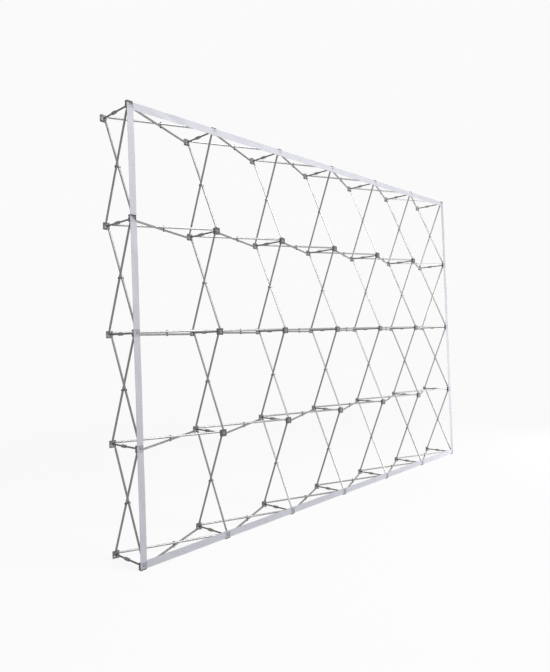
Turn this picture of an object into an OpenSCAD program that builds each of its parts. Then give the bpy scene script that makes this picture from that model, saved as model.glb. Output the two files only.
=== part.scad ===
// Straight pop-up frame for a photo backdrop, six bays wide and four bays high.
// Each bay side is a scissor of two equal tubes between a front and a rear hub.
// Closing the scissors draws the hub columns together and pushes the rear hubs back.
// Every tube across the wall runs on hub pins. The upright scissors stand on the front
// hubs, and their rear pins lie in open notches of the rear hubs.
// Millimetres. Origin on the floor under the middle of the frame, -Y is the front.

/* [Frame] */
// Distance between neighbouring hub centres in the open frame
bay_pitch = 750; // [600:10:900]
// Depth of the open frame over its front and rear hub faces
frame_depth = 325; // [280:5:420]
// Bays from the floor to the top
bays_high = 4; // [2:1:5]

/* [Tubes] */
// Outer diameter of the scissor tubes
tube_d = 15; // [13:0.5:16]
// Wall of the scissor tubes
tube_wall = 1.2; // [0.8:0.1:2]
// Gap between the two tubes of a scissor where they cross
crossing_gap = 4.5; // [3:0.5:6]
// Thickness of the flattened eye at a tube end
eye_t = 5; // [4:0.5:6]
// Width of the flattened eye
eye_w = 14; // [12:0.5:14]
// Distance from the pin in an eye to the shoulder of the tube
eye_length = 15; // [13:0.5:20]
// Length of the tapered shoulder
shoulder_length = 3; // [1:0.5:6]
// Diameter of the shoulder at the eye
shoulder_d = 9; // [7:0.5:12]
// Solid length of tube behind each eye
plug_length = 8; // [5:1:15]

/* [Hubs] */
// Side of the square hub plate
hub_side = 50; // [50:1:60]
// Thickness of the hub plate
plate_t = 6; // [5:0.5:8]
// Corner radius of the hub plate
plate_corner_r = 4; // [2:0.5:6]
// Width of the raised rim round the hub face
rim_w = 6; // [4:0.5:10]
// Depth of the recess inside the rim
recess_depth = 1.5; // [0.5:0.25:2]
// Diameter of the boss in the middle of the hub face
boss_d = 20; // [14:0.5:22]
// Thickness of each lug
lug_t = 4; // [3:0.25:4.5]
// Material left round a pin beyond the eye of the tube
lug_margin = 1; // [0.5:0.25:1.5]

/* [Pins and rivets] */
// Diameter of the hub pins and of the rivets where tubes cross
pin_d = 5; // [4:0.5:6]
// Running clearance of a pin in its bore, all round
pin_clearance = 0.05; // [0.02:0.01:0.1]
// Clearance beside a moving eye, spacer or rivet head
side_clearance = 0.3; // [0.25:0.05:0.5]
// Clearance between an eye and the hub plate under it
plate_clearance = 3; // [2:0.5:5]
// Diameter of the rivet heads
rivet_head_d = 10; // [8:0.5:12]
// Height of the rivet heads
rivet_head_h = 2.5; // [1.5:0.25:4]
// Outer diameter of the spacer between two crossing tubes
spacer_d = 10; // [8:0.5:12]

/* [Screws] */
// Diameter of the screw heads in the hub faces
screw_head_d = 8; // [7:0.5:9]
// Height of the screw heads
screw_head_h = 2.5; // [2:0.25:3]
// Depth of the screw heads below the hub face
screw_head_depth = 0.2; // [0.1:0.1:0.5]
// Diameter of the screw shanks
screw_d = 4; // [3:0.5:5]
// Length of screw inside the lock arm
screw_grip = 12; // [8:1:16]
// Hexagon key size of the screw heads
screw_key = 3; // [2:0.5:4]
// Depth of the hexagon key socket
screw_key_depth = 1.5; // [1:0.25:1.75]

/* [Lock arms] */
// Diameter of the lock arms between front and rear hubs
arm_d = 12; // [10:0.5:14]
// Diameter of the collar that seats a lock arm on its hub
arm_collar_d = 16; // [14:0.5:17]
// Height of that collar
arm_collar_h = 8; // [5:1:12]
// Distance from the front hub face to the middle of the coupling
coupling_middle = 185; // [150:5:200]
// Length of the coupling socket
socket_length = 44; // [36:1:60]
// Outer diameter of the coupling socket
socket_d = 19; // [15:0.5:20]
// Depth of the bore in the coupling socket
socket_bore_depth = 32; // [20:1:34]
// Diameter of the stud that pushes into the socket
stud_d = 8; // [6:0.5:9]
// Length of the stud
stud_length = 28; // [16:1:30]
// Width of the grip rings round the socket
grip_ring_w = 3; // [2:0.5:4]
// Height of the grip rings over the socket
grip_ring_h = 1; // [0.4:0.2:1.2]

/* [Hook tape] */
// Width of the white hook tape round the front
tape_w = 50; // [40:1:50]
// Thickness of the tape
tape_t = 2; // [1:0.5:3]
// Diameter of the eyelets over the hub screws
eyelet_d = 9; // [8.5:0.5:14]
// Distance of the top and bottom tapes inside the frame's edges
tape_inset = 8; // [1:1:12]
// Distance that the side tapes stop short of the frame's top
tape_top_gap = 16; // [2:1:18]
// Distance that the side tapes stay above the floor
tape_floor_gap = 8; // [1:1:12]
// Gap between the ends of two tapes
tape_end_gap = 0.5; // [0.3:0.1:2]

/* [Colours] */
// Colour of the tubes
tube_colour = "silver"; // [silver, lightgray, darkgray]
// Colour of the hubs
hub_colour = "dimgray"; // [dimgray, gray, darkslategray]
// Colour of the lock arms
arm_colour = "darkslategray"; // [darkslategray, dimgray, gray]
// Colour of the rivets
rivet_colour = "gray"; // [gray, dimgray, silver]
// Colour of the hook tape
tape_colour = "lavender"; // [lavender, white, whitesmoke]

/* [Hidden] */
// The names of the nodes count seven hub columns, so their number is fixed.
hub_columns = 7;
bays_wide = hub_columns - 1;
middle_column = (hub_columns + 1) / 2;
hub_rows = bays_high + 1;
frame_height = bays_high * bay_pitch + hub_side;

// Planes across the depth
total_depth = frame_depth + tape_t;
front_face_y = tape_t - total_depth / 2;
rear_face_y = front_face_y + frame_depth;

// Places in a hub, from its middle and from its face
lug_r = eye_w / 2 + lug_margin;
pin_offset = hub_side / 2 - lug_r;
pin_height = plate_t + plate_clearance + eye_w / 2;
crossing_offset = (tube_d + crossing_gap) / 2;
slot_w = eye_t + 2 * side_clearance;
lug_block_w = slot_w + 2 * lug_t;
pin_bore_d = pin_d + 2 * pin_clearance;

// The scissor bars, with their pins at both ends and in the middle
pin_gap_y = frame_depth - 2 * pin_height;
pin_gap_x = bay_pitch - 2 * pin_offset;
bar_length = norm([pin_gap_x, pin_gap_y]);
open_angle = atan2(pin_gap_y, pin_gap_x);
front_pin_y = front_face_y + pin_height;
rear_pin_y = rear_face_y - pin_height;
tube_start = eye_length + shoulder_length;

// The screws and the lock arms
screw_seat = screw_head_h + screw_head_depth;
screw_head_lift = 0.05;
screw_bore_d = screw_d + 2 * pin_clearance;
screw_bore_depth = screw_grip + 1;
socket_front = coupling_middle - socket_length / 2;
socket_rear = coupling_middle + socket_length / 2;
socket_bore_d = stud_d + 2 * side_clearance;
rear_arm_length = frame_depth - socket_rear - side_clearance - plate_t;

$fn = 48;
// How far joined shapes reach into each other, and how far cuts reach past a face
overlap = 0.01;
cut_past = 1;

function column_x(column) = (column - middle_column) * bay_pitch;
function row_z(row) = hub_side / 2 + (row - 1) * bay_pitch;

// Placing

// A column of copies, one on each row of hubs from first to last
module on_rows(column, first, last) {
    for (row = [first:last])
        translate([column_x(column), 0, row_z(row)])
            children();
}

// Turns a piece for the side to the right of a hub to the side above it
module upwards() {
    rotate([0, -90, 0])
        children();
}

// Puts a piece that is drawn behind a front face on the front hubs
module on_front_face() {
    translate([0, front_face_y, 0])
        children();
}

// Turns the same piece round to stand before the rear faces
module on_rear_face() {
    translate([0, rear_face_y, 0])
        rotate([0, 0, 180])
            children();
}

// Scissor bars

// Flattened eye with the shoulder where the tube begins
module bar_end() {
    cylinder(d = eye_w, h = eye_t, center = true);
    translate([0, -eye_w / 2, -eye_t / 2])
        cube([tube_start + overlap, eye_w, eye_t]);
    translate([eye_length, 0, 0])
        rotate([0, 90, 0])
            cylinder(d1 = shoulder_d, d2 = tube_d, h = shoulder_length + overlap);
}

// Tube with an eye at both ends, from the first pin at the origin along X
module bar() {
    difference() {
        union() {
            bar_end();
            translate([bar_length, 0, 0])
                rotate([0, 0, 180])
                    bar_end();
            translate([tube_start, 0, 0])
                rotate([0, 90, 0])
                    cylinder(d = tube_d, h = bar_length - 2 * tube_start);
        }
        translate([tube_start + plug_length, 0, 0])
            rotate([0, 90, 0])
                cylinder(d = tube_d - 2 * tube_wall, h = bar_length - 2 * (tube_start + plug_length));
        for (pivot = [0, bar_length / 2, bar_length])
            translate([pivot, 0, 0])
                cylinder(d = pin_bore_d, h = tube_d + 2 * cut_past, center = true);
    }
}

// The bar of a scissor that starts at the front hub, the lower of the two
module bar_from_front() {
    translate([pin_offset, front_pin_y, -crossing_offset])
        rotate([0, 0, open_angle])
            bar();
}

// The bar of a scissor that starts at the rear hub, the upper of the two
module bar_from_rear() {
    translate([pin_offset, rear_pin_y, crossing_offset])
        rotate([0, 0, -open_angle])
            bar();
}

// Rivet and spacer where the two bars of a scissor cross
module crossing_rivet() {
    translate([bay_pitch / 2, (front_pin_y + rear_pin_y) / 2, 0]) {
        rivet();
        spacer();
    }
}

// The rivet's lower head sits on the lower tube, and the upper tube turns under its upper head
module rivet() {
    tubes_top = crossing_offset + tube_d / 2;
    lower_head_z = -tubes_top - pin_clearance;
    upper_head_z = tubes_top + side_clearance;
    translate([0, 0, lower_head_z])
        cylinder(d = pin_d, h = upper_head_z - lower_head_z);
    translate([0, 0, upper_head_z])
        cylinder(d1 = rivet_head_d, d2 = rivet_head_d / 2, h = rivet_head_h);
    translate([0, 0, lower_head_z - rivet_head_h])
        cylinder(d1 = rivet_head_d / 2, d2 = rivet_head_d, h = rivet_head_h);
}

module spacer() {
    spacer_h = crossing_gap - side_clearance - pin_clearance;
    translate([0, 0, pin_clearance - crossing_gap / 2])
        difference() {
            cylinder(d = spacer_d, h = spacer_h);
            translate([0, 0, -cut_past])
                cylinder(d = pin_bore_d, h = spacer_h + 2 * cut_past);
        }
}

// Hubs, drawn with the face at Y = 0 and the lugs towards +Y

module rounded_plate(side, thickness, corner_r) {
    rotate([-90, 0, 0])
        linear_extrude(thickness) {
            square([side, side - 2 * corner_r], center = true);
            square([side - 2 * corner_r, side], center = true);
            for (x = [-1, 1], y = [-1, 1])
                translate([x, y] * (side / 2 - corner_r))
                    circle(r = corner_r);
        }
}

// Outline of a lug, round about its pin
module lug_outline() {
    translate([pin_offset, pin_height])
        circle(r = lug_r);
    translate([pin_offset - lug_r, plate_t - overlap])
        square([2 * lug_r, pin_height - plate_t + overlap]);
}

// Two lugs for one eye on the right side of the hub, with their bore or open notch
module lug_pair(notched) {
    translate([0, 0, -crossing_offset - lug_block_w / 2])
        difference() {
            linear_extrude(lug_block_w)
                lug_outline();
            translate([pin_offset - lug_r - cut_past, plate_t, lug_t])
                cube([2 * (lug_r + cut_past), pin_height + lug_r, slot_w]);
            translate([pin_offset, pin_height, -cut_past])
                cylinder(d = pin_bore_d, h = lug_block_w + 2 * cut_past);
            if (notched)
                translate([pin_offset - pin_bore_d / 2, pin_height, -cut_past])
                    cube([pin_bore_d, lug_r + cut_past, lug_block_w + 2 * cut_past]);
        }
}

// The four lug pairs stand like a pinwheel, so all tubes pass each other
module hub(upright_notches) {
    difference() {
        rounded_plate(hub_side, plate_t, plate_corner_r);
        hub_recess();
        rotate([-90, 0, 0]) {
            translate([0, 0, -cut_past])
                cylinder(d = screw_bore_d, h = plate_t + 2 * cut_past);
            translate([0, 0, -cut_past])
                cylinder(d = screw_head_d + 2 * side_clearance, h = screw_seat + cut_past);
        }
    }
    for (side = [0:3])
        rotate([0, -90 * side, 0])
            lug_pair(upright_notches && side % 2 == 1);
}

// Recess in the hub face between its rim and its boss
module hub_recess() {
    recess_side = hub_side - 2 * rim_w;
    translate([-recess_side / 2, -cut_past, -recess_side / 2])
        difference() {
            cube([recess_side, recess_depth + cut_past, recess_side]);
            translate([recess_side / 2, 0, recess_side / 2])
                rotate([-90, 0, 0])
                    cylinder(d = boss_d, h = recess_depth + 2 * cut_past);
        }
}

// Screw through the hub plate into its lock arm
module hub_screw() {
    head_y = screw_seat - screw_head_lift - screw_head_h;
    rotate([-90, 0, 0])
        difference() {
            union() {
                translate([0, 0, head_y])
                    cylinder(d = screw_head_d, h = screw_head_h);
                translate([0, 0, head_y])
                    cylinder(d = screw_d, h = plate_t + screw_grip - head_y);
            }
            translate([0, 0, head_y - cut_past])
                cylinder(d = screw_key / cos(30), h = screw_key_depth + cut_past, $fn = 6);
        }
}

// Pin across the lug pair on the right side of a hub
module hub_pin() {
    translate([pin_offset, pin_height, -crossing_offset - lug_block_w / 2])
        cylinder(d = pin_d, h = lug_block_w);
}

// Lock arms, drawn on the axis of a hub with the hub face at Y = 0

module arm_on_hub(length) {
    difference() {
        union() {
            translate([0, 0, plate_t])
                cylinder(d = arm_collar_d, h = arm_collar_h);
            translate([0, 0, plate_t])
                cylinder(d = arm_d, h = length);
        }
        translate([0, 0, plate_t - cut_past])
            cylinder(d = screw_bore_d, h = screw_bore_depth + cut_past);
    }
}

// Front arm that ends in the coupling socket
module front_lock_arm() {
    rotate([-90, 0, 0]) {
        arm_on_hub(socket_front - plate_t + overlap);
        coupling_socket();
    }
}

module coupling_socket() {
    translate([0, 0, socket_front])
        difference() {
            union() {
                cylinder(d = socket_d, h = socket_length);
                for (ring_z = [0, socket_length - grip_ring_w])
                    translate([0, 0, ring_z])
                        cylinder(d = socket_d + 2 * grip_ring_h, h = grip_ring_w);
            }
            translate([0, 0, socket_length - socket_bore_depth])
                cylinder(d = socket_bore_d, h = socket_bore_depth + cut_past);
        }
}

// Rear arm with the stud that pushes into that socket
module rear_lock_arm() {
    rotate([-90, 0, 0]) {
        arm_on_hub(rear_arm_length);
        translate([0, 0, plate_t + rear_arm_length - overlap])
            cylinder(d = stud_d, h = stud_length + overlap);
    }
}

// Hook tape

// Straight tape on the front faces, from one corner to the opposite one
module tape(low_x, low_z, high_x, high_z) {
    difference() {
        translate([low_x, front_face_y - tape_t, low_z])
            cube([high_x - low_x, tape_t, high_z - low_z]);
        for (column = [1:hub_columns])
            on_rows(column, 1, hub_rows)
                translate([0, front_face_y - tape_t - cut_past, 0])
                    rotate([-90, 0, 0])
                        cylinder(d = eyelet_d, h = tape_t + 2 * cut_past);
    }
}

// Sub-parts

module front_hubs(column) {
    color(hub_colour) {
        on_rows(column, 1, hub_rows)
            on_front_face() {
                hub(false);
                hub_screw();
            }
        if (column < hub_columns)
            front_pins(column, 0, 1, hub_rows);
        if (column > 1)
            front_pins(column, 2, 1, hub_rows);
        front_pins(column, 1, 1, hub_rows - 1);
        front_pins(column, 3, 2, hub_rows);
    }
}

module front_pins(column, side, first, last) {
    on_rows(column, first, last)
        on_front_face()
            rotate([0, -90 * side, 0])
                hub_pin();
}

module rear_hubs(column) {
    color(hub_colour) {
        on_rows(column, 1, hub_rows)
            on_rear_face() {
                hub(true);
                hub_screw();
            }
        if (column > 1)
            rear_pins(column, 0, 1, hub_rows);
        if (column < hub_columns)
            rear_pins(column, 2, 1, hub_rows);
    }
}

module rear_pins(column, side, first, last) {
    on_rows(column, first, last)
        on_rear_face()
            rotate([0, -90 * side, 0])
                hub_pin();
}

// Bars, rivets and rear pins of the scissors above each other in one column
module upright_scissors(column) {
    color(tube_colour) {
        on_rows(column, 1, bays_high)
            upwards() {
                bar_from_front();
                bar_from_rear();
                crossing_rivet();
            }
        rear_pins(column, 1, 1, hub_rows - 1);
        rear_pins(column, 3, 2, hub_rows);
    }
}

module front_lock_arms(column) {
    color(arm_colour)
        on_rows(column, 1, hub_rows)
            on_front_face()
                front_lock_arm();
}

module rear_lock_arms(column) {
    color(arm_colour)
        on_rows(column, 1, hub_rows)
            on_rear_face()
                rear_lock_arm();
}

module front_to_rear_bars(bay) {
    color(tube_colour)
        on_rows(bay, 1, hub_rows)
            bar_from_front();
}

module rear_to_front_bars(bay) {
    color(tube_colour)
        on_rows(bay, 1, hub_rows)
            bar_from_rear();
}

module crossing_rivets(bay) {
    color(rivet_colour)
        on_rows(bay, 1, hub_rows)
            crossing_rivet();
}

module top_hook_tape() {
    tape_across(frame_height - tape_inset - tape_w);
}

module bottom_hook_tape() {
    tape_across(tape_inset);
}

// Tape between the two side tapes, from its lower edge
module tape_across(low_z) {
    reach = column_x(hub_columns) - tape_w / 2 - tape_end_gap;
    color(tape_colour)
        tape(-reach, low_z, reach, low_z + tape_w);
}

module side_hook_tape(column) {
    low_x = column_x(column) - tape_w / 2;
    color(tape_colour)
        tape(low_x, tape_floor_gap, low_x + tape_w, frame_height - tape_top_gap);
}

module left_hook_tape() {
    side_hook_tape(1);
}

module right_hook_tape() {
    side_hook_tape(hub_columns);
}

for (column = [1:hub_columns]) {
    front_hubs(column);
    rear_hubs(column);
    upright_scissors(column);
    front_lock_arms(column);
    rear_lock_arms(column);
}
for (bay = [1:bays_wide]) {
    front_to_rear_bars(bay);
    rear_to_front_bars(bay);
    crossing_rivets(bay);
}
top_hook_tape();
bottom_hook_tape();
left_hook_tape();
right_hook_tape();
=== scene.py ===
# Looks of the pop-up backdrop frame: finishes of its parts, hub walls, rivet caps, hook tape,
# coupling sleeves, floor, light and camera.
import math
import random

import bmesh
import bpy
from mathutils import Matrix, Vector


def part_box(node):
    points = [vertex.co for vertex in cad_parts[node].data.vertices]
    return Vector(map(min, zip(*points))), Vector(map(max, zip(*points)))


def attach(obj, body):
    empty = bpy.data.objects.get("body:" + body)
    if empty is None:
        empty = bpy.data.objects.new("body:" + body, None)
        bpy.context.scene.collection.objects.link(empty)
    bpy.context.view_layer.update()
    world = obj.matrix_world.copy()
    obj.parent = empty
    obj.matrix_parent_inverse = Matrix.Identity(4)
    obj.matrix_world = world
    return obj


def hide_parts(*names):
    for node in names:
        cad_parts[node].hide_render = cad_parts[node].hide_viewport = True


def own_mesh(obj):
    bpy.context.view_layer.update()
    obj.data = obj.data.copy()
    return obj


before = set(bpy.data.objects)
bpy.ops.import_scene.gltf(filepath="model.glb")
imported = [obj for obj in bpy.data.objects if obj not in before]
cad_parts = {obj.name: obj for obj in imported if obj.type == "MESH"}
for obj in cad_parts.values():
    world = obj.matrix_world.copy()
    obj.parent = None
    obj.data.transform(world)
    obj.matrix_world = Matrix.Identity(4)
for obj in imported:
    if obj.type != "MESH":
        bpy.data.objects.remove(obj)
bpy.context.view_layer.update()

# Layout of the frame, in metres, read from the hubs

# Numbers of the axes: along the wall, through it and up
X, Y, Z = 0, 1, 2
COLUMNS = 7
ROWS = 5
MIDDLE = 4
hub_low, hub_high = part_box("front_hubs_c1")
HUB = hub_high.x - hub_low.x
COLUMN_X = [sum(corner.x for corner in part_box(f"front_hubs_c{c}")) / 2 for c in range(1, COLUMNS + 1)]
BAY = COLUMN_X[1] - COLUMN_X[0]
ROW_Z = [HUB / 2 + row * BAY for row in range(ROWS)]
FRONT_FACE = hub_low.y
REAR_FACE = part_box("rear_hubs_c1")[1].y
MIDDLE_Y = (FRONT_FACE + REAR_FACE) / 2
HEIGHT = hub_high.z

# Sizes inside a hub, as in the part's source
BOSS_R = 0.010
SCREW_R = 0.004
PIN_R = 0.0025
# From a hub's axis to its pins, and from its face to them
PIN_OFFSET = 0.017
PIN_HEIGHT = 0.016
# Where two tubes cross, each lies between about these distances from the middle of the crossing
CROSSING_INSIDE = 0.00222
CROSSING_OUTSIDE = 0.01728


# New objects

def add_to_scene(name, data):
    item = bpy.data.objects.new(name, data)
    bpy.context.scene.collection.objects.link(item)
    return item


def new_piece(name, points, faces, material):
    mesh = bpy.data.meshes.new(name)
    mesh.from_pydata(points, [], faces)
    mesh.materials.append(material)
    return add_to_scene(name, mesh)


def ring_faces(start, rings, sides):
    """Faces between rings of points, which follow each other from point number start on."""
    faces = []
    for ring in range(rings - 1):
        near = start + ring * sides
        far = near + sides
        for step in range(sides):
            after = (step + 1) % sides
            faces.append((near + step, near + after, far + after, far + step))
    return faces


# Camera, fitted to the 70 hubs of the photograph

PHOTO_W, PHOTO_H = 550, 672
FOCAL_PIXELS = 569.3
SENSOR_MM = 36.0
# Where the camera's axis meets the photograph, which is cropped off centre
AXIS_PIXEL_X, AXIS_PIXEL_Y = 239.1, 327.1
CAMERA_AT = Vector((-4.3976, FRONT_FACE - 3.0763, 1.4626))
AZIMUTH = math.radians(-45.143)
ELEVATION = math.radians(-1.231)
ROLL = math.radians(-1.952)
FARTHEST_SEEN = 200.0


def make_camera():
    data = bpy.data.cameras.new("camera")
    data.sensor_width = SENSOR_MM
    frame_pixels = max(PHOTO_W, PHOTO_H)
    data.lens = FOCAL_PIXELS / frame_pixels * SENSOR_MM
    data.shift_x = (PHOTO_W / 2 - AXIS_PIXEL_X) / frame_pixels
    data.shift_y = (AXIS_PIXEL_Y - PHOTO_H / 2) / frame_pixels
    data.clip_end = FARTHEST_SEEN
    camera = add_to_scene("camera", data)
    back = Vector((
        math.sin(AZIMUTH) * math.cos(ELEVATION),
        -math.cos(AZIMUTH) * math.cos(ELEVATION),
        math.sin(ELEVATION),
    ))
    right = Vector((math.cos(AZIMUTH), math.sin(AZIMUTH), 0.0))
    up = back.cross(right)
    turned_right = right * math.cos(ROLL) + up * math.sin(ROLL)
    turned_up = up * math.cos(ROLL) - right * math.sin(ROLL)
    matrix = Matrix((turned_right, turned_up, back)).transposed().to_4x4()
    matrix.translation = CAMERA_AT
    camera.matrix_world = matrix
    bpy.context.scene.camera = camera


# Shader building

# Most of a noise's values lie in this range
NOISE_RANGE = (0.3, 0.7)


class Shader:
    """A material with a Principled shader and short ways to add nodes."""

    def __init__(self, name, **constants):
        self.material = bpy.data.materials.new(name)
        self.material.use_nodes = True
        self.tree = self.material.node_tree
        self.principled = self.tree.nodes["Principled BSDF"]
        for socket, value in constants.items():
            self.principled.inputs[socket.replace("_", " ")].default_value = value
        places = self.add("ShaderNodeTexCoord").outputs
        self.coordinates = places["Object"]
        self.normal = places["Normal"]

    def add(self, kind, settings=None, **inputs):
        node = self.tree.nodes.new(kind)
        for key, value in (settings or {}).items():
            setattr(node, key, value)
        for key, value in inputs.items():
            self.set(node.inputs[key.replace("_", " ")], value)
        return node

    def set(self, socket, value):
        if isinstance(value, bpy.types.NodeSocket):
            self.tree.links.new(value, socket)
        else:
            socket.default_value = value

    def feed(self, name, value):
        """Sets or links an input of the Principled shader."""
        self.set(self.principled.inputs[name], value)

    def part(self, vector, axis):
        """One of the three numbers of a vector."""
        return self.add("ShaderNodeSeparateXYZ", Vector=vector).outputs[axis]

    def math(self, operation, *values):
        node = self.add("ShaderNodeMath", {"operation": operation})
        for socket, value in zip(node.inputs, values):
            self.set(socket, value)
        return node.outputs[0]

    def noise(self, scale, detail, stretch=None):
        place = self.coordinates
        if stretch:
            place = self.add("ShaderNodeMapping", Vector=place, Scale=stretch).outputs[0]
        return self.add("ShaderNodeTexNoise", Vector=place, Scale=scale, Detail=detail).outputs["Fac"]

    def between(self, value, low, high, out_low=0.0, out_high=1.0):
        """A value stretched from its range, low to high, to another range."""
        node = self.add("ShaderNodeMapRange", Value=value)
        for key, number in (("From Min", low), ("From Max", high), ("To Min", out_low), ("To Max", out_high)):
            node.inputs[key].default_value = number
        return node.outputs[0]

    def mix(self, factor, a, b):
        node = self.add("ShaderNodeMix", {"data_type": "RGBA"})
        self.set(node.inputs[0], factor)
        self.set(node.inputs[6], a)
        self.set(node.inputs[7], b)
        return node.outputs[2]

    def roughness(self, pattern, smooth, rough):
        self.feed("Roughness", self.between(pattern, *NOISE_RANGE, smooth, rough))

    def bump(self, height, distance, strength=1.0):
        node = self.add("ShaderNodeBump", Height=height, Distance=distance, Strength=strength)
        self.feed("Normal", node.outputs[0])

    def past_grid(self, axis, start):
        """Distance past the nearest hub axis along X or Z, less than zero before it."""
        from_start = self.math("SUBTRACT", self.part(self.coordinates, axis), start)
        steps = self.math("DIVIDE", from_start, BAY)
        return self.math("MULTIPLY", self.math("SUBTRACT", steps, self.math("ROUND", steps)), BAY)

    def off_grid(self, axis, start):
        return self.math("ABSOLUTE", self.past_grid(axis, start))

    def radius(self, a, b):
        return self.math("SQRT", self.math("ADD", self.math("MULTIPLY", a, a), self.math("MULTIPLY", b, b)))


def grey(value, warm=0.0):
    return (value * (1 + warm), value, value * (1 - warm), 1.0)


# Tones of the finishes in linear light, where a pair is the duller and the brighter grey that are mixed

# All the tubes are one aluminium: the greys of the uprights and of the two kinds of bars differ by painted
# light and painted shade
UPRIGHT_TONES = (0.18, 0.25)
# Uprights with painted highlight: a paler copy of the same aluminium
PAINTED_HIGHLIGHT_UPRIGHT_TONES = (0.48, 0.56)
# The bars from front to rear are a darker copy (painted shade), those from rear to front a paler copy
# (painted light)
FRONT_TO_REAR_PAINTED_SHADE_TONES = (0.20, 0.27)
REAR_TO_FRONT_PAINTED_LIGHT_TONES = (0.31, 0.39)
# Painted light that makes the wall's right end brighter than the brighter grey of a tube, and how much
# brighter than that grey the streaks on the tube are
RIGHT_END_PAINTED_LIGHT = 0.18
STREAK_LIFT = 0.1
TUBE_METALLIC = 0.85
# The rear hubs' plastic is a paler copy of the front hubs': painted light
FRONT_HUB_TONES = (0.105, 0.14)
REAR_HUB_PAINTED_LIGHT_TONES = (0.18, 0.25)
SCUFF_LIFT = 0.08
# The brighter grey of the lugs, and how far under it the duller one is
FRONT_LUG_TONE = 0.145
# The rear hubs' lugs are painted light, far paler than their plastic
REAR_LUG_PAINTED_LIGHT_TONE = 0.74
LUG_SPREAD = 0.05
# Painted highlight on a hub's boss
BOSS_PAINTED_HIGHLIGHT_TONES = (0.28, 0.38)
# Painted light on the back of a hub's plate
PLATE_BACK_PAINTED_LIGHT_TONES = (0.76, 0.84)
# Painted light on the inner sides of the hub walls
WALL_INSIDE_PAINTED_LIGHT_TONES = (0.72, 0.80)
ARM_COLOURS = (grey(0.11, warm=0.08), grey(0.15, warm=0.06))
SLEEVE_COLOURS = (grey(0.20, warm=0.04), grey(0.30, warm=0.03))
STEEL_DARK = grey(0.022, warm=0.03)
STEEL_WORN = grey(0.07, warm=0.02)
PIN_STEEL = grey(0.10)
PIN_METALLIC = 0.9
TAPE_STAINED = (0.53, 0.53, 0.585, 1.0)
TAPE_CLEAN = (0.60, 0.60, 0.645, 1.0)
TAPE_HOOKS = (0.71, 0.71, 0.75, 1.0)
# Painted shade over the hubs behind the tape
PAINTED_HUB_SHADE = (0.16, 0.18, 0.21, 1.0)

# Within the first distance of the wall's middle the uprights on the right of a column get painted highlight,
# and past the second they get none
PAINTED_HIGHLIGHT_WITHIN = 1.2 * BAY
NO_PAINTED_HIGHLIGHT_BEYOND = 2.2 * BAY
# Depths behind the plane of a hub's face: the face ends at the first and the plate before the second,
# and past the third there are only lugs and front walls
FACE_DEPTH = 0.0004
PLATE_BACK = 0.0065
LUG_DEPTH = 0.0105
# How nearly a face has to point into the frame to count as the plate's back, which gets painted light
POINTS_INWARD = 0.8
# What lies this little past a screw's or a pin's radius still has its steel
SCREW_MARGIN = 0.00005
PIN_MARGIN = 0.00002


def tube_colours(shader, even_painted_shade, bright):
    """Drawn aluminium: soft streaks, duller and brighter patches, and painted light that makes it paler
    towards the right end.
    """
    patches = shader.noise(scale=9.0, detail=4.0)
    streaks = shader.noise(scale=420.0, detail=2.0)
    base = shader.mix(patches, grey(even_painted_shade, warm=0.01), grey(bright, warm=0.005))
    # Painted light: paler towards the wall's right end
    painted_light_to_right = shader.between(shader.part(shader.coordinates, X), COLUMN_X[MIDDLE - 1], COLUMN_X[-1])
    base = shader.mix(painted_light_to_right, base, grey(bright + RIGHT_END_PAINTED_LIGHT))
    streaked = shader.between(streaks, 0.35, 0.7, out_high=0.3)
    return shader.mix(streaked, base, grey(bright + STREAK_LIFT))


def drawn_surface(shader):
    """Roughness and fine marks of a drawn tube."""
    shader.roughness(shader.noise(scale=60.0, detail=5.0), 0.29, 0.38)
    shader.bump(shader.noise(scale=700.0, detail=2.0), distance=0.00006)


def tube_material(name, tones):
    shader = Shader(name, Metallic=TUBE_METALLIC, Specular_IOR_Level=0.5)
    shader.feed("Base Color", tube_colours(shader, *tones))
    drawn_surface(shader)
    return shader.material


def upright_material():
    """The upright tubes, with rivets and spacers in dark steel.

    Those on the right side of the middle columns get painted highlight: a paler copy of the same aluminium.
    """
    shader = Shader("upright_aluminium_painted_highlight", Metallic=TUBE_METALLIC)
    past = shader.past_grid(X, COLUMN_X[0])
    aside = shader.math("ABSOLUTE", past)
    head = shader.math("GREATER_THAN", aside, CROSSING_OUTSIDE)
    inside = shader.math("LESS_THAN", aside, CROSSING_INSIDE)
    steel = shader.math("MAXIMUM", head, inside)
    # Painted highlight on the uprights on the right of a column, near the wall's middle
    right_side = shader.math("GREATER_THAN", past, 0.0)
    from_middle = shader.math("ABSOLUTE", shader.part(shader.coordinates, X))
    near_middle = shader.between(from_middle, PAINTED_HIGHLIGHT_WITHIN, NO_PAINTED_HIGHLIGHT_BEYOND, out_low=1.0, out_high=0.0)
    painted_highlight = shader.math("MULTIPLY", right_side, near_middle)
    dull_tube = tube_colours(shader, *UPRIGHT_TONES)
    painted_highlight_tube = tube_colours(shader, *PAINTED_HIGHLIGHT_UPRIGHT_TONES)
    shader.feed("Base Color", shader.mix(steel, shader.mix(painted_highlight, dull_tube, painted_highlight_tube), STEEL_DARK))
    drawn_surface(shader)
    return shader.material


def rivet_material():
    shader = Shader("rivet_steel", Metallic=0.4)
    wear = shader.between(shader.noise(scale=300.0, detail=4.0), 0.45, 0.7)
    shader.feed("Base Color", shader.mix(wear, STEEL_DARK, STEEL_WORN))
    shader.feed("Roughness", shader.between(wear, 0.0, 1.0, out_low=0.5, out_high=0.32))
    shader.bump(shader.noise(scale=900.0, detail=2.0), distance=0.00005)
    return shader.material


def moulded_surface(shader, mottle):
    """Roughness and fine grain of the hubs' plastic."""
    shader.roughness(mottle, 0.42, 0.58)
    shader.bump(shader.noise(scale=1600.0, detail=2.0), distance=0.00008, strength=0.6)


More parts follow.
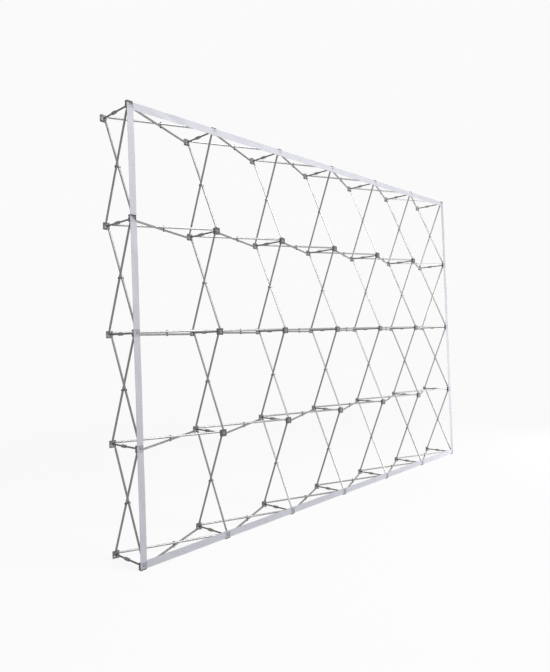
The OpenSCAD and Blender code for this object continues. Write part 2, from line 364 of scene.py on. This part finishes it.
def screw_and_pins(shader, across, upward, depth):
    """One on the steel screw and pins of a hub, whose places follow from its axis, and otherwise zero."""
    pin_depth = shader.math("SUBTRACT", depth, PIN_HEIGHT)
    beside_pin = shader.radius(shader.math("SUBTRACT", across, PIN_OFFSET), pin_depth)
    above_pin = shader.radius(shader.math("SUBTRACT", upward, PIN_OFFSET), pin_depth)
    screw = shader.math("LESS_THAN", shader.radius(across, upward), SCREW_R + SCREW_MARGIN)
    pins = shader.math("LESS_THAN", shader.math("MINIMUM", beside_pin, above_pin), PIN_R + PIN_MARGIN)
    return shader.math("MAXIMUM", screw, pins)


def hub_material(name, face_y, inward, tones, lug_tone_and_painted_light):
    """Moulded hub with its steel screw and pins, painted highlight on its boss, and painted light on its
    plate's back.
    """
    dark, light = tones
    shader = Shader(name, Specular_IOR_Level=0.4)
    across = shader.off_grid(X, COLUMN_X[0])
    upward = shader.off_grid(Z, ROW_Z[0])
    from_face = shader.math("SUBTRACT", shader.part(shader.coordinates, Y), face_y)
    depth = shader.math("MULTIPLY", from_face, inward)
    mottle = shader.noise(scale=26.0, detail=5.0)
    scuff = shader.between(shader.noise(scale=150.0, detail=6.0), 0.56, 0.72, out_high=0.5)
    plastic = shader.mix(mottle, grey(dark, warm=0.04), grey(light, warm=0.03))
    plastic = shader.mix(scuff, plastic, grey(light + SCUFF_LIFT, warm=0.01))
    on_lug = shader.math("GREATER_THAN", depth, LUG_DEPTH)
    # On the rear hubs the lugs' tone is painted light, far paler than their plastic
    lugs = shader.mix(mottle, grey(lug_tone_and_painted_light - LUG_SPREAD, warm=0.02), grey(lug_tone_and_painted_light, warm=0.02))
    plastic = shader.mix(on_lug, plastic, lugs)
    on_face = shader.math("LESS_THAN", depth, FACE_DEPTH)
    on_boss = shader.math("LESS_THAN", shader.radius(across, upward), BOSS_R)
    boss = shader.math("MULTIPLY", on_face, on_boss)
    # Painted highlight: the boss is paler than the plastic round it
    plastic = shader.mix(boss, plastic, shader.mix(mottle, *map(grey, BOSS_PAINTED_HIGHLIGHT_TONES)))
    # Painted light on the plate's back, the faces that point into the frame
    turned_in = shader.math("MULTIPLY", shader.part(shader.normal, Y), inward)
    on_plate = shader.math("LESS_THAN", depth, PLATE_BACK)
    painted_light_plate_back = shader.math("MULTIPLY", on_plate, shader.math("GREATER_THAN", turned_in, POINTS_INWARD))
    plastic = shader.mix(painted_light_plate_back, plastic, shader.mix(mottle, *map(grey, PLATE_BACK_PAINTED_LIGHT_TONES)))
    steel = screw_and_pins(shader, across, upward, depth)
    shader.feed("Base Color", shader.mix(steel, plastic, PIN_STEEL))
    shader.feed("Metallic", shader.math("MULTIPLY", steel, PIN_METALLIC))
    moulded_surface(shader, mottle)
    return shader.material


def inside_painted_light_material():
    """Plastic of the hub walls' inner sides, painted paler as light falling on them."""
    shader = Shader("hub_inside_painted_light", Specular_IOR_Level=0.4)
    mottle = shader.noise(scale=26.0, detail=5.0)
    shader.feed("Base Color", shader.mix(mottle, *map(grey, WALL_INSIDE_PAINTED_LIGHT_TONES)))
    moulded_surface(shader, mottle)
    return shader.material


def arm_material():
    """Brown-grey moulded lock arm with faint flow marks along its length."""
    shader = Shader("lock_arm_plastic", Specular_IOR_Level=0.45)
    flow = shader.noise(scale=30.0, detail=4.0, stretch=(6, 1, 6))
    shader.feed("Base Color", shader.mix(flow, *ARM_COLOURS))
    shader.roughness(flow, 0.34, 0.5)
    shader.bump(shader.noise(scale=1300.0, detail=2.0), distance=0.00006, strength=0.5)
    return shader.material


def sleeve_material():
    shader = Shader("sleeve_plastic", Specular_IOR_Level=0.5)
    wear = shader.between(shader.noise(scale=180.0, detail=5.0), 0.4, 0.75)
    shader.feed("Base Color", shader.mix(wear, *SLEEVE_COLOURS))
    shader.feed("Roughness", shader.between(wear, 0.0, 1.0, out_low=0.36, out_high=0.52))
    shader.bump(shader.noise(scale=1500.0, detail=2.0), distance=0.00006, strength=0.5)
    return shader.material


def tape_material():
    """White hook tape: woven ground, rows of small hooks, plain selvedges, and painted shade over the hubs
    that show through.
    """
    shader = Shader(
        "hook_tape", Roughness=0.82, Sheen_Weight=0.15, Sheen_Roughness=0.5, Specular_IOR_Level=0.25
    )
    field = shader.add("ShaderNodeAttribute", {"attribute_name": "hook_field"}).outputs["Fac"]
    shade = shader.add("ShaderNodeAttribute", {"attribute_name": "hub_shade"}).outputs["Fac"]
    place = shader.coordinates
    hooks = shader.add(
        "ShaderNodeTexVoronoi", {"feature": "F1"}, Vector=place, Scale=620.0, Randomness=0.35
    ).outputs["Distance"]
    weave = shader.add(
        "ShaderNodeTexWave", {"bands_direction": "DIAGONAL"}, Vector=place, Scale=300.0, Distortion=0.4
    ).outputs["Fac"]
    ground = shader.mix(shader.noise(scale=7.0, detail=4.0), TAPE_STAINED, TAPE_CLEAN)
    hooked = shader.mix(shader.between(hooks, 0.1, 0.7, out_high=0.3), ground, TAPE_HOOKS)
    tape = shader.mix(field, ground, hooked)
    # Painted shade where the hubs lie behind the tape
    shader.feed("Base Color", shader.mix(shade, tape, PAINTED_HUB_SHADE))
    height = shader.math("ADD", shader.math("MULTIPLY", hooks, field), shader.math("MULTIPLY", weave, 0.4))
    shader.bump(height, distance=0.0003, strength=0.7)
    return shader.material


# Finishes on the frame's own parts

BEVEL = 0.0006
BEVEL_STEPS = 2
SHARP_ANGLE = math.radians(50)


def finish_frame():
    """Gives the nodes their looks, the tapes apart, and adds the hubs' walls and the rivets' caps."""
    # The two kinds of bars are a darker and a paler copy of the same aluminium: painted shade and painted
    # light
    painted_shade_tube = tube_material("tube_aluminium_painted_shade", FRONT_TO_REAR_PAINTED_SHADE_TONES)
    tube = tube_material("tube_aluminium", REAR_TO_FRONT_PAINTED_LIGHT_TONES)
    upright = upright_material()
    rivet = rivet_material()
    # Both hub materials carry painted light, and the rear hubs' plastic is a paler copy of the front hubs'
    front_hub = hub_material("front_hub_plastic_painted_light", FRONT_FACE, 1.0, FRONT_HUB_TONES, FRONT_LUG_TONE)
    rear_hub = hub_material("rear_hub_plastic_painted_light", REAR_FACE, -1.0, REAR_HUB_PAINTED_LIGHT_TONES, REAR_LUG_PAINTED_LIGHT_TONE)
    inside = inside_painted_light_material()
    arm = arm_material()
    looks = {
        "front_hubs": front_hub,
        "rear_hubs": rear_hub,
        "upright_scissors": upright,
        "front_lock_arms": arm,
        "rear_lock_arms": arm,
        "front_to_rear_bars": painted_shade_tube,
        "rear_to_front_bars": tube,
        "crossing_rivets": rivet,
    }
    for name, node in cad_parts.items():
        for prefix, material in looks.items():
            if name.startswith(prefix):
                dress(node, material, BEVEL)
    for column in range(1, COLUMNS + 1):
        make_walls("front", column, FRONT_FACE, 1.0, FRONT_WALL_DEPTH, front_hub, inside)
        make_walls("rear", column, REAR_FACE, -1.0, REAR_WALL_DEPTH, rear_hub, inside)
        centres = [(COLUMN_X[column - 1], MIDDLE_Y, z + BAY / 2) for z in ROW_Z[:-1]]
        make_caps(f"upright_rivet_caps_c{column}", f"front_column_{column}", centres, X, rivet)
    for bay in range(1, COLUMNS):
        centres = [(COLUMN_X[bay - 1] + BAY / 2, MIDDLE_Y, z) for z in ROW_Z]
        make_caps(f"crossing_rivet_caps_b{bay}", f"bars_a_{bay}", centres, Z, rivet)


def dress(node, material, bevel):
    """Gives a piece its material, and rounds its sharp edges slightly."""
    node.data.materials.clear()
    node.data.materials.append(material)
    rounding = node.modifiers.new("edges", "BEVEL")
    rounding.width = bevel
    rounding.segments = BEVEL_STEPS
    rounding.limit_method = "ANGLE"
    rounding.angle_limit = SHARP_ANGLE
    rounding.harden_normals = False
    rounding.use_clamp_overlap = True


# Walls round the backs of the hubs, each round a corner from the lugs of one side to those of the next

WALL_T = 0.003
WALL_BEVEL = WALL_T / 10
WALL_INSET = 0.0005
WALL_ROOT = 0.0055
FRONT_WALL_DEPTH = 0.020
REAR_WALL_DEPTH = 0.010
WALL_CORNER_R = 0.0035
WALL_CORNER_STEPS = 5
# How far from the hub's middle a wall begins in the lugs of one side and ends in those of the next
WALL_START = 0.00345
WALL_END = 0.01605


def wall_outline():
    """Section of the wall at the upper right corner, as seen from the hub's face."""
    outer = HUB / 2 - WALL_INSET
    inner = outer - WALL_T
    centre = outer - WALL_CORNER_R
    points = [(inner, -WALL_START), (outer, -WALL_START)]
    for step in range(WALL_CORNER_STEPS + 1):
        angle = math.pi / 2 * step / WALL_CORNER_STEPS
        points.append((centre + WALL_CORNER_R * math.cos(angle), centre + WALL_CORNER_R * math.sin(angle)))
    return points + [(WALL_END, outer), (WALL_END, inner), (inner, inner)]


def make_walls(side, column, face_y, inward, wall_depth, material, inside):
    points, faces = [], []
    outline = wall_outline()
    count = len(outline)
    for row_z in ROW_Z:
        for _ in range(4):
            start = len(points)
            for depth in (WALL_ROOT, wall_depth):
                for x, z in outline:
                    points.append((COLUMN_X[column - 1] + inward * x, face_y + inward * depth, row_z + z))
            faces.append([start + i for i in range(count)])
            faces.append([start + count + i for i in reversed(range(count))])
            for i in range(count):
                after = (i + 1) % count
                faces.append([start + i, start + count + i, start + count + after, start + after])
            # A quarter turn takes the outline to the next corner
            outline = [(-z, x) for x, z in outline]
    piece = new_piece(f"{side}_hub_walls_c{column}", points, faces, material)
    dress(piece, material, WALL_BEVEL)
    # The walls' inner sides get painted light
    piece.data.materials.append(inside)
    # The faces of a wall are its two edges, then its sides in the outline's order, with the inner two last
    for number, face in enumerate(piece.data.polygons):
        face.material_index = int(number % (count + 2) >= count)
    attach(piece, f"{side}_column_{column}")


# Domed caps on the rivets where two tubes cross

CAP_R = 0.007
CAP_START = 0.0174
CAP_SIDES = 24
# Height over the cap's foot and share of its radius
CAP_PROFILE = ((0.0, 0.93), (0.0005, 1.0), (0.0021, 1.0), (0.0032, 0.86), (0.0040, 0.55), (0.0043, 0.2))


def make_caps(name, body, centres, axis, material):
    """Two caps at each centre, on both ends of a rivet along that axis."""
    points, faces = [], []
    ring = range(CAP_SIDES)
    for centre in centres:
        for end in (-1, 1):
            start = len(points)
            for height, share in CAP_PROFILE:
                for step in ring:
                    angle = end * 2 * math.pi * step / CAP_SIDES
                    point = Vector(centre)
                    point[axis] += end * (CAP_START + height)
                    point[(axis + 1) % 3] += CAP_R * share * math.cos(angle)
                    point[(axis + 2) % 3] += CAP_R * share * math.sin(angle)
                    points.append(point)
            faces.append([start + step for step in reversed(ring)])
            faces.append([start + (len(CAP_PROFILE) - 1) * CAP_SIDES + step for step in ring])
            faces += ring_faces(start, len(CAP_PROFILE), CAP_SIDES)
    piece = new_piece(name, points, faces, material)
    piece.data.shade_smooth()
    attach(piece, body)


# Hook tape

TAPE_THICK = 0.0014
END_OVERLAP = 0.003
SELVEDGE = 0.0035
EYELET_R = 0.0045
# Spacing and number of grid lines on each side of an eyelet, and half the square left open round it
EYELET_STEP = 0.003
EYELET_STEPS = 4
EYELET_HALF = EYELET_STEP * EYELET_STEPS
# Rings of points in that square, as shares of the way from its edge to the eyelet's
EYELET_RINGS = (0.5, 0.85, 1.0)
# Further grid lines: beside an eyelet, inside a hub's edge and on both sides of an edge, and their spacing
BESIDE_EYELET = [0.016, 0.020]
INSIDE_HUB = 0.008
BESIDE_EDGE = 0.0012
SHORTEST_STEP = 0.0004
LONGEST_STEP = 0.0125
MARK_DECIMALS = 5
# Distances under which places count as the same
TINY = 1e-6
CLOSE = 1e-4
# How far the tape stands off between two hubs, the waves that vary this, and how far its edges curl
SLACK = 0.0022
SLACK_POWER = 0.7
WAVE_SHARE = 0.5
WAVE_SLANT = 1.5
WAVE_COUNT = 5
WAVE_LENGTHS = (0.16, 0.6)
WAVE_PHASES = (0, 6.28)
WAVE_HEIGHTS = (0.2, 0.6)
CURL = 0.0008
# Painted shade over each hub where it shows through its tape, at its upper right and its lower left
SIDE_SHADES = [(0.50, 0.25)] * ROWS
TOP_SHADES = [(0.16, 0.06)] * COLUMNS
BOTTOM_SHADES = [(0.55, 0.35)] * COLUMNS
# Distance over which the one turns into the other
SHADE_BLUR = 0.012
# Painted shade that makes the right tape greyer all along
RIGHT_TAPE_PAINTED_SHADE = 0.26


def lines_across(half, eyelet):
    """Grid lines over the tape's width: round the eyelets, at the edges of the hubs and at its own edges."""
    lines = {eyelet + EYELET_STEP * step for step in range(-EYELET_STEPS, EYELET_STEPS + 1)}
    lines.update((-half, -half + BESIDE_EDGE, -half + SELVEDGE, half - SELVEDGE, half - BESIDE_EDGE, half))
    for side in (-1, 1):
        lines.update(eyelet + side * (HUB / 2 + beside) for beside in (-BESIDE_EDGE, BESIDE_EDGE))
        lines.add(eyelet + side * (HUB / 2 - INSIDE_HUB))
    kept = []
    for line in sorted(lines):
        on_tape = -half - TINY <= line <= half + TINY
        if on_tape and (not kept or line - kept[-1] > SHORTEST_STEP):
            kept.append(line)
    return kept


def lines_along(start, end, hubs):
    """Grid lines along the tape, close together at the hubs."""
    offsets = [EYELET_STEP * step for step in range(EYELET_STEPS + 1)]
    offsets += BESIDE_EYELET + [HUB / 2 - BESIDE_EDGE, HUB / 2 + BESIDE_EDGE]
    marks = {round(start, MARK_DECIMALS), round(end, MARK_DECIMALS)}
    for hub in hubs:
        for offset in offsets:
            marks.update(round(hub + side * offset, MARK_DECIMALS) for side in (-1, 1))
    marks = sorted(mark for mark in marks if start - TINY <= mark <= end + TINY)
    lines = []
    for low, high in zip(marks, marks[1:]):
        parts = max(1, round((high - low) / LONGEST_STEP))
        lines += [low + (high - low) * part / parts for part in range(parts)]
    return lines + [marks[-1]]


def tape_relief(along, across, hubs, half, waves):
    """How far the tape stands off the hub faces: flat on the hubs, slack and a little wavy between them."""
    gap = min(abs(along - hub) for hub in hubs)
    free = min(1.0, max(0.0, (gap - HUB / 2) / (BAY / 2 - HUB / 2)))
    wave = 0.0
    for length, phase, height in waves:
        wave += height * math.sin(2 * math.pi * along / length + phase + WAVE_SLANT * across / half)
    curl = CURL * free * (across / half) ** 2
    return free ** SLACK_POWER * (SLACK + SLACK * WAVE_SHARE * wave) + curl


def make_tape(name, body, long_axis, hub_line, hub_shades, material, seed, even_painted_shade=0.0):
    """A tape in place of the CAD node of that name, along the hubs on hub_line.

    hub_shades is the painted shade over each hub, at its upper right and its lower left, and the last
    argument is painted shade that makes the whole tape greyer all along.
    """
    low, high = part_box(name)
    wide_axis = Z if long_axis == X else X
    half = (high[wide_axis] - low[wide_axis]) / 2
    middle = (high[wide_axis] + low[wide_axis]) / 2
    eyelet = hub_line - middle
    grid = COLUMN_X if long_axis == X else ROW_Z
    hubs = [hub for hub in grid if low[long_axis] - HUB < hub < high[long_axis] + HUB]
    holes = [hub for hub in hubs if low[long_axis] < hub < high[long_axis]]
    draw = random.Random(seed)
    waves = [
        (draw.uniform(*WAVE_LENGTHS), draw.uniform(*WAVE_PHASES), draw.uniform(*WAVE_HEIGHTS))
        for _ in range(WAVE_COUNT)
    ]
    long_lines = lines_along(low[long_axis], high[long_axis], holes)
    cross_lines = lines_across(half, eyelet)
    points, shades, fields = [], [], []

    def add_point(along, across):
        point = Vector((0.0, 0.0, 0.0))
        point[long_axis] = along
        point[wide_axis] = middle + across
        point.y = FRONT_FACE - TAPE_THICK - tape_relief(along, across, hubs, half, waves)
        points.append(point)
        shades.append(max(even_painted_shade, shade_over_hubs(along, across - eyelet, grid, hub_shades)))
        fields.append(1.0 if abs(across) < half - SELVEDGE + CLOSE else 0.0)
        return len(points) - 1

    index = [[add_point(along, across) for across in cross_lines] for along in long_lines]
    faces = []
    for i in range(len(long_lines) - 1):
        along = (long_lines[i] + long_lines[i + 1]) / 2
        in_gap = any(abs(along - hole) < EYELET_HALF for hole in holes)
        for j in range(len(cross_lines) - 1):
            across = (cross_lines[j] + cross_lines[j + 1]) / 2
            if in_gap and abs(across - eyelet) < EYELET_HALF:
                continue
            faces.append((index[i][j], index[i + 1][j], index[i + 1][j + 1], index[i][j + 1]))
    for hole in holes:
        faces += eyelet_faces(hole, eyelet, long_lines, cross_lines, index, add_point)
    piece = new_piece(name + "_woven", points, faces, material)
    finish_tape(piece, shades, fields, long_axis)
    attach(piece, body)
    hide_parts(name)
    return piece


def shade_over_hubs(along, across, grid, hub_shades):
    """Painted shade of a hub that shows through at a point, given along the tape and across from the hubs'
    middle.
    """
    if abs(across) > HUB / 2 + CLOSE:
        return 0.0
    for hub, (upper_right, lower_left) in zip(grid, hub_shades):
        if abs(along - hub) <= HUB / 2 + CLOSE:
            share = min(1.0, max(0.0, 0.5 + (along - hub + across) / SHADE_BLUR))
            return lower_left + (upper_right - lower_left) * share
    return 0.0


def eyelet_faces(hole, eyelet, long_lines, cross_lines, index, add_point):
    """Faces from the square gap in the grid to a round hole in its middle."""
    rows = [i for i, along in enumerate(long_lines) if abs(along - hole) < EYELET_HALF + CLOSE]
    cols = [j for j, across in enumerate(cross_lines) if abs(across - eyelet) < EYELET_HALF + CLOSE]
    ring = [(i, cols[0]) for i in rows]
    ring += [(rows[-1], j) for j in cols[1:]]
    ring += [(i, cols[-1]) for i in reversed(rows[:-1])]
    ring += [(rows[0], j) for j in reversed(cols[1:-1])]
    previous = [index[i][j] for i, j in ring]
    faces = []
    for share in EYELET_RINGS:
        current = []
        for i, j in ring:
            along, across = long_lines[i] - hole, cross_lines[j] - eyelet
            reach = math.hypot(along, across)
            radius = reach + (EYELET_R - reach) * share
            current.append(add_point(hole + along / reach * radius, eyelet + across / reach * radius))
        for k in range(len(ring)):
            after = (k + 1) % len(ring)
            faces.append((previous[k], previous[after], current[after], current[k]))
        previous = current
    return faces


def finish_tape(piece, shades, fields, long_axis):
    """Gives the tape's points the values that its material reads, and the tape its thickness."""
    for attribute, values in (("hub_shade", shades), ("hook_field", fields)):
        layer = piece.data.attributes.new(attribute, "FLOAT", "POINT")
        layer.data.foreach_set("value", values)
    thick = piece.modifiers.new("thickness", "SOLIDIFY")
    thick.thickness = TAPE_THICK
    thick.offset = 1.0 if long_axis == X else -1.0


def bare_hub(tape, hub_z, left_rise, right_rise):
    """Bares a hub of the left tape, from a slant between two heights over its middle up to its top."""
    shape = bmesh.new()
    shape.from_mesh(tape.data)
    upright = Vector((0.0, 0.0, 1.0))
    on_cut = Vector((COLUMN_X[0], 0.0, hub_z + (left_rise + right_rise) / 2))
    above_cut = Vector(((left_rise - right_rise) / HUB, 0.0, 1.0)).normalized()
    hub_top = Vector((0.0, 0.0, hub_z + HUB / 2 - END_OVERLAP))
    for point, normal in ((on_cut, above_cut), (hub_top, upright)):
        everything = shape.verts[:] + shape.edges[:] + shape.faces[:]
        bmesh.ops.bisect_plane(shape, geom=everything, plane_co=point, plane_no=normal)
    bare = []
    for face in shape.faces:
        middle = face.calc_center_median()
        if (middle - on_cut).dot(above_cut) > 0 and middle.z < hub_top.z:
            bare.append(face)
    bmesh.ops.delete(shape, geom=bare, context="FACES")
    shape.to_mesh(tape.data)
    shape.free()


# Coupling sleeves on the front lock arms

SLEEVE_FRONT = 0.163
SLEEVE_REAR = 0.207
SLEEVE_R = 0.0106
SLEEVE_BULGE = 0.0002
SLEEVE_RIBS = 20
RIB_HEIGHT = 0.0007
SLEEVE_STEPS = 80
# Distance from a sleeve's end, rise over its radius and share of the rib height, at its collar and first ribs
SLEEVE_END = (
    (0.001, 0.0004, 0.0),
    (0.004, 0.0004, 0.0),
    (0.005, -0.0004, 0.0),
    (0.007, -0.0002, 0.6),
    (0.009, 0.0, 1.0),
)
# Distance before the sleeve and radius of the cone that leads to it, and radii of its open rear end
SLEEVE_CONE = ((0.006, 0.0062), (0.001, 0.0096))
SLEEVE_MOUTH = (SLEEVE_R - 0.0004, 0.0052)


def sleeve_profile():
    """Depth from the hub face, radius and share of the rib height, from the sleeve's front to its rear."""
    middle = SLEEVE_FRONT + (SLEEVE_REAR - SLEEVE_FRONT) / 2
    profile = [(SLEEVE_FRONT - before, radius, 0.0) for before, radius in SLEEVE_CONE]
    for inset, rise, ribbed in SLEEVE_END:
        profile.append((SLEEVE_FRONT + inset, SLEEVE_R + rise, ribbed))
    profile.append((middle, SLEEVE_R + SLEEVE_BULGE, 1.0))
    for inset, rise, ribbed in reversed(SLEEVE_END):
        profile.append((SLEEVE_REAR - inset, SLEEVE_R + rise, ribbed))
    profile += [(SLEEVE_REAR, radius, 0.0) for radius in SLEEVE_MOUTH]
    return profile


def make_sleeves(column, material):
    points, faces = [], []
    profile = sleeve_profile()
    for row_z in ROW_Z:
        start = len(points)
        for depth, radius, ribbed in profile:
            for step in range(SLEEVE_STEPS):
                angle = 2 * math.pi * step / SLEEVE_STEPS
                rib = RIB_HEIGHT * ribbed * math.cos(SLEEVE_RIBS * angle)
                x = COLUMN_X[column - 1] + (radius + rib) * math.cos(angle)
                z = row_z + (radius + rib) * math.sin(angle)
                points.append((x, FRONT_FACE + depth, z))
        faces += ring_faces(start, len(profile), SLEEVE_STEPS)
    piece = new_piece(f"coupling_sleeves_c{column}", points, faces, material)
    piece.data.shade_smooth()
    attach(piece, f"front_column_{column}")


# Floor, light and background

BACKGROUND = 0.955
AMBIENT = (0.97, 0.98, 1.0, 1.0)
AMBIENT_STRENGTH = 0.43
FLOOR_SIZE = 80.0
FLOOR_GREY = (0.85, 0.85, 0.85, 1.0)
# Share of the floor's own glow under the frame, beside the light that falls on it
NEAR_SHARE = 0.88
# Distances from the frame's middle over which the floor turns into the background
FADE_START = 3.0
FADE_END = 9.0


def seen_by(tree, *rays):
    """One for rays of any of these kinds, and otherwise zero."""
    path = tree.nodes.new("ShaderNodeLightPath")
    seen = path.outputs[rays[0]]
    for ray in rays[1:]:
        either = tree.nodes.new("ShaderNodeMath")
        either.operation = "MAXIMUM"
        tree.links.new(seen, either.inputs[0])
        tree.links.new(path.outputs[ray], either.inputs[1])
        seen = either.outputs[0]
    return seen


def mix_shaders(tree, share, first, second, target):
    mixer = tree.nodes.new("ShaderNodeMixShader")
    tree.links.new(share, mixer.inputs[0])
    tree.links.new(first.outputs[0], mixer.inputs[1])
    tree.links.new(second.outputs[0], mixer.inputs[2])
    tree.links.new(mixer.outputs[0], target.inputs[0])


def make_world():
    world = bpy.data.worlds.new("studio")
    bpy.context.scene.world = world
    world.use_nodes = True
    tree = world.node_tree
    ambient = tree.nodes["Background"]
    ambient.inputs["Color"].default_value = AMBIENT
    ambient.inputs["Strength"].default_value = AMBIENT_STRENGTH
    backdrop = tree.nodes.new("ShaderNodeBackground")
    backdrop.inputs["Color"].default_value = grey(BACKGROUND)
    backdrop.inputs["Strength"].default_value = 1.0
    shown = seen_by(tree, "Is Camera Ray", "Is Transmission Ray", "Is Glossy Ray")
    mix_shaders(tree, shown, ambient, backdrop, tree.nodes["World Output"])


def floor_material():
    """Matt floor with a glow of its own, which fades into the background."""
    material = bpy.data.materials.new("floor")
    material.use_nodes = True
    tree = material.node_tree
    tree.nodes.clear()
    matt = tree.nodes.new("ShaderNodeBsdfDiffuse")
    matt.inputs["Color"].default_value = FLOOR_GREY
    glow = tree.nodes.new("ShaderNodeEmission")
    glow.inputs["Color"].default_value = grey(1.0)
    place = tree.nodes.new("ShaderNodeTexCoord")
    away = tree.nodes.new("ShaderNodeVectorMath")
    away.operation = "LENGTH"
    tree.links.new(place.outputs["Object"], away.inputs[0])
    share = tree.nodes.new("ShaderNodeMath")
    share.operation = "MULTIPLY"
    tree.links.new(seen_by(tree, "Is Camera Ray", "Is Glossy Ray"), share.inputs[0])
    for near, far, socket in ((NEAR_SHARE, 1.0, share.inputs[1]), (1.0, BACKGROUND, glow.inputs["Strength"])):
        fade = tree.nodes.new("ShaderNodeMapRange")
        limits = {"From Min": FADE_START, "From Max": FADE_END, "To Min": near, "To Max": far}
        for key, number in limits.items():
            fade.inputs[key].default_value = number
        tree.links.new(away.outputs["Value"], fade.inputs["Value"])
        tree.links.new(fade.outputs[0], socket)
    mix_shaders(tree, share.outputs[0], matt, glow, tree.nodes.new("ShaderNodeOutputMaterial"))
    return material


def make_floor():
    """Pale floor that keeps a soft shadow."""
    half = FLOOR_SIZE / 2
    corners = [(-half, -half, 0), (half, -half, 0), (half, half, 0), (-half, half, 0)]
    floor = new_piece("floor", corners, [(0, 1, 2, 3)], floor_material())


def make_lamp(name, place, target, size, power):
    data = bpy.data.lights.new(name, "AREA")
    data.shape = "DISK"
    data.size = size
    data.energy = power
    lamp = add_to_scene(name, data)
    lamp.location = place
    lamp.rotation_euler = (Vector(target) - Vector(place)).to_track_quat("-Z", "Y").to_euler()


def make_lights():
    make_lamp("key", place=(-1.0, -3.8, 7.0), target=(0.0, 0.0, HEIGHT / 2), size=3.0, power=320.0)
    make_lamp("side", place=(3.8, -2.2, 0.7), target=(2.2, 0.0, 1.0), size=2.0, power=70.0)


# The scene

bpy.context.scene.view_settings.view_transform = "Standard"
make_camera()
make_world()
make_floor()
make_lights()
finish_frame()

MIDDLE_BODY = f"front_column_{MIDDLE}"
tape_finish = tape_material()
left = make_tape("left_hook_tape", "front_column_1", Z, COLUMN_X[0], SIDE_SHADES, tape_finish, seed=11)
right = make_tape(
    "right_hook_tape", "front_column_7", Z, COLUMN_X[-1], SIDE_SHADES, tape_finish, seed=12,
    even_painted_shade=RIGHT_TAPE_PAINTED_SHADE,
)
top = make_tape("top_hook_tape", MIDDLE_BODY, X, ROW_Z[-1], TOP_SHADES, tape_finish, seed=13)
bottom = make_tape("bottom_hook_tape", MIDDLE_BODY, X, ROW_Z[0], BOTTOM_SHADES, tape_finish, seed=14)
bare_hub(left, ROW_Z[-1], left_rise=0.008, right_rise=0.002)
bare_hub(left, ROW_Z[-2], left_rise=0.018, right_rise=-0.017)

# The top and bottom tapes get meshes of their own
for tape in (top, bottom):
    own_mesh(tape)
for tape, name in ((left, "left"), (right, "right"), (top, "top"), (bottom, "bottom")):
    under = {"left": [1], "right": [COLUMNS]}.get(name, range(1, COLUMNS + 1))
    [f"front_hubs_c{column}" for column in under]

sleeve_finish = sleeve_material()
for column in range(1, COLUMNS + 1):
    make_sleeves(column, sleeve_finish)
